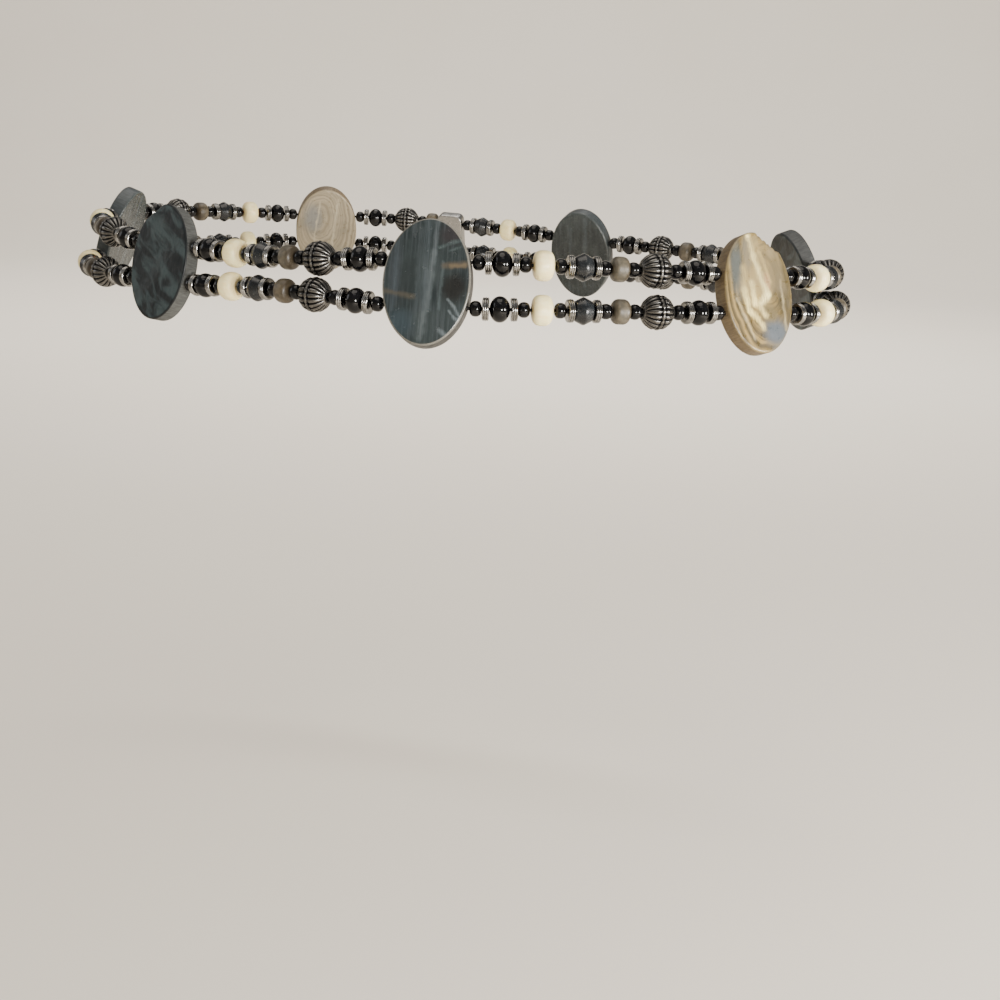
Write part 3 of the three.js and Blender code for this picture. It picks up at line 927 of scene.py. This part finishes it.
def build_slabs():
    for holder, slab in zip(HOLDERS[1:], SLABS):
        outline, past = slab_outline(slab)
        chips = None
        if slab["cut"] > 1:
            bites = np.array([rng.uniform(0.0, 1.0) for _ in past])
            ragged = np.array([rng.uniform(0.0, 0.52) for _ in past]) * np.minimum(past * 2, 1.0)
            outline = outline - (offset_outline(outline, 1) - outline) * ragged[:, None]
            chips = np.minimum(past * 1.6, 1.0) * (0.25 + 0.55 * (bites + np.roll(bites, 1)) / 2)
        points, faces = plate(outline, SLAB_THICKNESS, SLAB_BEVEL, chips)
        local, cut_faces = drilled(points, faces, SLAB_WIDTH, slab["spacing"])
        look = dict(SLAB_FINISHES[holder["name"]])
        slot = look.pop("slot")
        material = slab_finish(f"{slot}_{holder['name']}", **look)
        build_holder(holder, local, cut_faces, material, f"{holder['name']}_polished")


def build_clasp(silver):
    half_x, half_y, corner, bevel = CLASP_LENGTH / 2 - TOUCH_GAP, CLASP_HEIGHT / 2, CLASP_CORNER, 0.5
    outline = []
    for cx, cy, start in ((1, 1, 0), (-1, 1, 90), (-1, -1, 180), (1, -1, 270)):
        for step in range(13):
            turn = math.radians(start + step * 7.5)
            x = cx * (half_x - corner) + (corner - bevel) * math.cos(turn)
            y = cy * (half_y - corner) + (corner - bevel) * math.sin(turn)
            outline.append((x, y))
    points, faces = plate(np.array(outline), CLASP_THICKNESS, bevel)
    local, cut_faces = drilled(points, faces, CLASP_LENGTH, CLASP_SPACING)
    build_holder(HOLDERS[0], local, cut_faces, silver, "clasp_body")


# Strands

STRUNG_BORE = THREAD_RADIUS + 0.1
# gap is what a bead stays short of its place by, square how drum-like it is, hole the radius where it ends
ROUNDED_BEADS = {
    "small": {"gap": 0.06, "square": 2.5, "rows": 17, "hole": 0.75, "bore": STRUNG_BORE, "sides": 32},
    "round": {"gap": 0.04, "square": 2.05, "rows": 23, "hole": 0.8, "bore": STRUNG_BORE, "sides": 44},
    "rondelle": {"gap": 0.05, "square": 3.4, "rows": 21, "hole": 1.0, "bore": STRUNG_BORE, "sides": 44},
    "bone": {"gap": 2 * TOUCH_GAP, "square": 3.0, "rows": 25, "hole": 1.3, "bore": BORE_RADIUS, "sides": 56},
}


def rounded_bead(name, gap, square, rows, hole, bore, sides):
    return turned(bored(swell(LENGTHS[name] - gap, DIAMETERS[name], square, rows, hole), bore), sides)


BEAD_GRIDS = {name: rounded_bead(name, **shape) for name, shape in ROUNDED_BEADS.items()}
SPACER_OUTLINE = ringed(LENGTHS["spacer"], DIAMETERS["spacer"], rings=3, depth=0.26, rows_each=6)
BEAD_GRIDS["spacer"] = turned(SPACER_OUTLINE, sides=44)
BEAD_GRIDS["bicone"] = turned(bicone_outline(LENGTHS["bicone"], DIAMETERS["bicone"], rows=29), sides=48)


def build_loose_bead(name, number, ending, stretch, station, material, grid, recess):
    """A bone or melon bead, drilled and standing free on its thread."""
    axes, centre = stretch.frame(station)
    rows, columns, _ = grid.shape
    local = grid.reshape(-1, 3)
    points = placed(rolled(local, rng.uniform(0, 2 * math.pi)), axes, centre)
    extras = {"pick": np.full(len(local), rng.random())}
    if recess is not None:
        extras["recess"] = recess
    node = f"{name}_bead_{ending}_{number}"
    faces = closed_grid(rows, columns)
    sharp = 40 if name == "bone" else None
    piece = finish_mesh(f"{node}_carved", points, faces, local, material, sharp, **extras)
    hold(piece, node)


def build_thread(name, node, stretches, material):
    """The thread of one string, from inside one holder to inside another."""
    sides = 12
    frames, distances = [], []
    run = 0.0
    for index, stretch in enumerate(stretches):
        start = stretch.start + (TOUCH_GAP / 2 if index == 0 else 0.5)
        end = stretch.end - (TOUCH_GAP / 2 if index == len(stretches) - 1 else 0.5)
        for station in np.linspace(start, end, int((end - start) / 1.2) + 1):
            frames.append(stretch.frame(station))
            distances.append(run + station - start)
        run += end - start
    turn = np.arange(sides) * 2 * math.pi / sides
    ring = THREAD_RADIUS * np.stack([np.sin(turn), np.zeros(sides), np.cos(turn)], axis=-1)
    points = np.concatenate([placed(ring, axes, centre) for axes, centre in frames])
    places = [(j / sides, d, 0.0) for d in distances for j in range(sides)]
    faces = tube_faces(len(frames), sides)
    piece = finish_mesh(name, points, faces, places, material, 60)
    hold(piece, node)


def build_strands(finishes, silver_cast, silver_plate):
    groups = {
        "black_beads": (("small", "round"), "black_glass", finishes["glass"], None),
        "spacers": (("spacer",), "antique_silver", silver_plate, 50),
        "bicones": (("bicone",), "dark_bicone", finishes["bicone"], 50),
        "rondelles": (("rondelle",), "brown_rondelle", finishes["rondelle"], 50),
    }
    melon, recess = melon_points()
    loose = {"bone": (finishes["bone"], BEAD_GRIDS["bone"], None), "melon": (silver_cast, melon, recess)}
    for ending in STRANDS:
        holders = HOLDERS + HOLDERS[:1]
        stretches = [Stretch(first, second, ending) for first, second in zip(holders, holders[1:])]
        for side, part in (("right", stretches[:FRONT]), ("left", stretches[FRONT:])):
            node = f"string_{ending}_{side}"
            for group, (names, slot, material, sharp) in groups.items():
                heap = Heap()
                for stretch in part:
                    for name, station in stretch.places():
                        if name in names:
                            heap.add(BEAD_GRIDS[name], *stretch.frame(station))
                piece = heap.piece(f"{node}_{group}", material, sharp)
                hold(piece, node)
            build_thread(f"{node}_thread", node, part, finishes["thread"])
        counts = {"bone": 0, "melon": 0}
        for stretch in stretches:
            for name, station in stretch.places():
                if name in counts:
                    counts[name] += 1
                    build_loose_bead(name, counts[name], ending, stretch, station, *loose[name])


silver_cast = silver_finish("antique_cast_silver", tone(124, 122, 118), tone(70, 68, 66), 0.22)
silver_plate = silver_finish("polished_silver", tone(166, 164, 160), tone(88, 87, 84), 0.12)
silver_smooth = silver_finish("brushed_silver", tone(168, 166, 162), tone(150, 149, 146), 0.26, 0.04)
finishes = {
    "bone": bone_finish(),
    "glass": glass_finish(),
    "bicone": bicone_finish(),
    "rondelle": rondelle_finish(),
    "thread": thread_finish(),
}
build_slabs()
build_clasp(silver_smooth)
build_strands(finishes, silver_cast, silver_plate)


# Floor, light and camera

FLOOR_DROP = 0.2
FLOOR_RADIUS = 2.2
BOWL_RADIUS = 1.6


def build_stage():
    """A round pale floor that rises softly all round, far from the belt."""
    sides = 96
    rim = [(0.0, 0.0), (0.6, 0.0), (1.6, 0.0), (FLOOR_RADIUS, 0.0)]
    for turn in np.linspace(0.1, 1.5, 15):
        rim.append((FLOOR_RADIUS + BOWL_RADIUS * math.sin(turn), BOWL_RADIUS * (1 - math.cos(turn))))
    points = [(0.0, 0.0, -FLOOR_DROP)]
    for radius, height in rim[1:]:
        for j in range(sides):
            turn = 2 * math.pi * j / sides
            points.append((radius * math.cos(turn), radius * math.sin(turn), height - FLOOR_DROP))
    faces = [[0, 1 + j, 1 + (j + 1) % sides] for j in range(sides)]
    for i in range(len(rim) - 2):
        for j in range(sides):
            k = (j + 1) % sides
            a, b = 1 + i * sides, 1 + (i + 1) * sides
            faces.append([a + j, b + j, b + k, a + k])
    mesh = bpy.data.meshes.new("studio_floor")
    mesh.from_pydata(points, [], faces)
    mesh.polygons.foreach_set("use_smooth", [True] * len(mesh.polygons))
    floor = bpy.data.objects.new("studio_floor", mesh)
    bpy.context.scene.collection.objects.link(floor)
    finish = Finish("studio_paper", Roughness=0.85)
    where = finish.node("ShaderNodeTexCoord", {}).outputs["Object"]
    finish.colour(finish.mix(finish.noise(where, 3.0, 3.0), tone(232, 223, 208), tone(237, 229, 216)))
    mesh.materials.append(finish.material)


BELT_FRONT = (0.03, -0.1, 0.0)
BELT_MIDDLE = (0, 0, 0)
# Disk lights: size in metres across, power in watts
LIGHTS = [
    ("key_right", (0.8, -0.12, 0.03), BELT_FRONT, 0.17, 8.0, (1.0, 0.97, 0.93)),
    ("key_front", (0.6, -0.62, 0.04), BELT_FRONT, 0.17, 8.0, (1.0, 0.98, 0.95)),
    ("soft_above", (-0.1, -0.1, 1.3), BELT_MIDDLE, 1.2, 9.0, (1.0, 0.92, 0.82)),
    ("soft_left", (-1.3, -0.5, 0.5), BELT_MIDDLE, 0.8, 3.0, (0.95, 0.97, 1.0)),
    ("wall_behind", (-0.3, 0.9, 1.5), (-0.8, 3.0, 0.0), 1.2, 75.0, (1.0, 0.98, 0.95)),
    ("wall_before", (0.6, -1.2, 1.9), (1.4, -3.2, 0.2), 1.2, 22.0, (1.0, 0.98, 0.95)),
]
ROOM_COLOUR = (0.95, 0.94, 0.92, 1)
ROOM_STRENGTH = 0.28


def build_lights():
    for name, place, target, size, power, colour in LIGHTS:
        data = bpy.data.lights.new(name, "AREA")
        data.shape = "DISK"
        data.size = size
        data.energy = power
        data.color = colour
        lamp = bpy.data.objects.new(name, data)
        lamp.location = place
        lamp.rotation_euler = (Vector(target) - Vector(place)).to_track_quat("-Z", "Y").to_euler()
        bpy.context.scene.collection.objects.link(lamp)
    world = bpy.data.worlds.new("studio")
    bpy.context.scene.world = world
    world.use_nodes = True
    room = world.node_tree.nodes["Background"]
    room.inputs["Color"].default_value = ROOM_COLOUR
    room.inputs["Strength"].default_value = ROOM_STRENGTH


CAMERA_PLACE = (24.53, -517.87, 42.67)
CAMERA_RIGHT = (0.99847, 0.01399, 0.05347)
CAMERA_UP = (-0.05527, 0.25273, 0.96595)
CAMERA_BACK = (0.0, -0.96743, 0.25312)
# The camera's place was measured about the belt and is turned with it, in radians
CAMERA_TURN = 0.3747
CAMERA_LENS = 48.66
CAMERA_SENSOR = 36.0


def build_camera():
    data = bpy.data.cameras.new("camera")
    data.lens = CAMERA_LENS
    data.sensor_width = CAMERA_SENSOR
    data.clip_start = 0.01
    data.clip_end = 20.0
    camera = bpy.data.objects.new("camera", data)
    bpy.context.scene.collection.objects.link(camera)
    axes = Matrix((CAMERA_RIGHT, CAMERA_UP, CAMERA_BACK)).transposed().to_4x4()
    stand = Matrix.Translation(Vector(CAMERA_PLACE) * MM) @ axes
    camera.matrix_world = Matrix.Rotation(CAMERA_TURN, 4, "Z") @ stand
    bpy.context.scene.camera = camera


build_stage()
build_lights()
build_camera()
